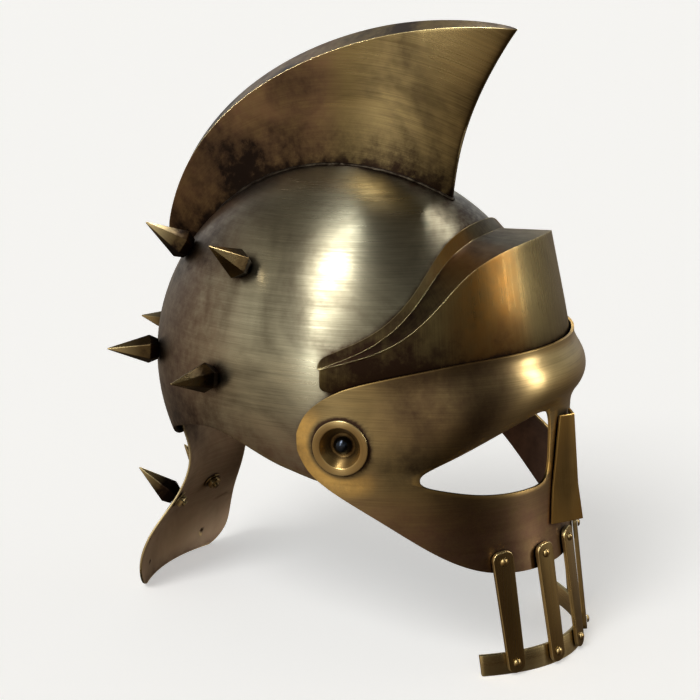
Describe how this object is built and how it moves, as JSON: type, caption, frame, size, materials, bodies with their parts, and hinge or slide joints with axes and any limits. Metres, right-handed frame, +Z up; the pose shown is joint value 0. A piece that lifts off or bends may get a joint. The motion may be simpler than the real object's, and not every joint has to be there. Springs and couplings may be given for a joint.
{
  "type": "gladiator helmet",
  "caption": "Brass gladiator helmet with a hollow fin crest, arched forehead plate, eyed face guard, barred mouth, flared neck guard and spikes.",
  "frame": {"origin": "on the surface that the helmet stands on, under the middle of its bounding box", "axes": "+Z up, the face towards -Y, the wearer's right side at -X; the helmet is symmetric about the plane X = 0"},
  "size_m": [0.2522, 0.305, 0.3582],
  "materials": {
    "antique_brass": "brushed and darkened sheet brass",
    "dark_steel": "polished dark steel"
  },
  "bodies": {
    "root": {"bowl": "antique_brass", "crest": "antique_brass", "frontlet": "antique_brass", "face_guard": "antique_brass", "nasal": "antique_brass", "mouth_bar_1": "antique_brass", "mouth_bar_2": "antique_brass", "mouth_bar_3": "antique_brass", "mouth_bar_4": "antique_brass", "mouth_bar_5": "antique_brass", "bar_rivet_top_1": "antique_brass", "bar_rivet_top_2": "antique_brass", "bar_rivet_top_3": "antique_brass", "bar_rivet_top_4": "antique_brass", "bar_rivet_top_5": "antique_brass", "bar_rivet_low_1": "antique_brass", "bar_rivet_low_2": "antique_brass", "bar_rivet_low_3": "antique_brass", "bar_rivet_low_4": "antique_brass", "bar_rivet_low_5": "antique_brass", "chin_bar": "antique_brass", "neck_guard": "antique_brass", "temple_cup_left": "antique_brass", "temple_cup_right": "antique_brass", "temple_rivet_left": "dark_steel", "temple_rivet_right": "dark_steel", "spike_ring_1": "antique_brass", "spike_ring_2": "antique_brass", "spike_ring_3": "antique_brass", "spike_ring_4": "antique_brass", "spike_ring_5": "antique_brass", "spike_upper_1": "antique_brass", "spike_upper_2": "antique_brass", "spike_upper_3": "antique_brass", "spike_upper_4": "antique_brass", "spike_nape_1": "antique_brass", "spike_nape_2": "antique_brass"}
  },
  "joints": []
}
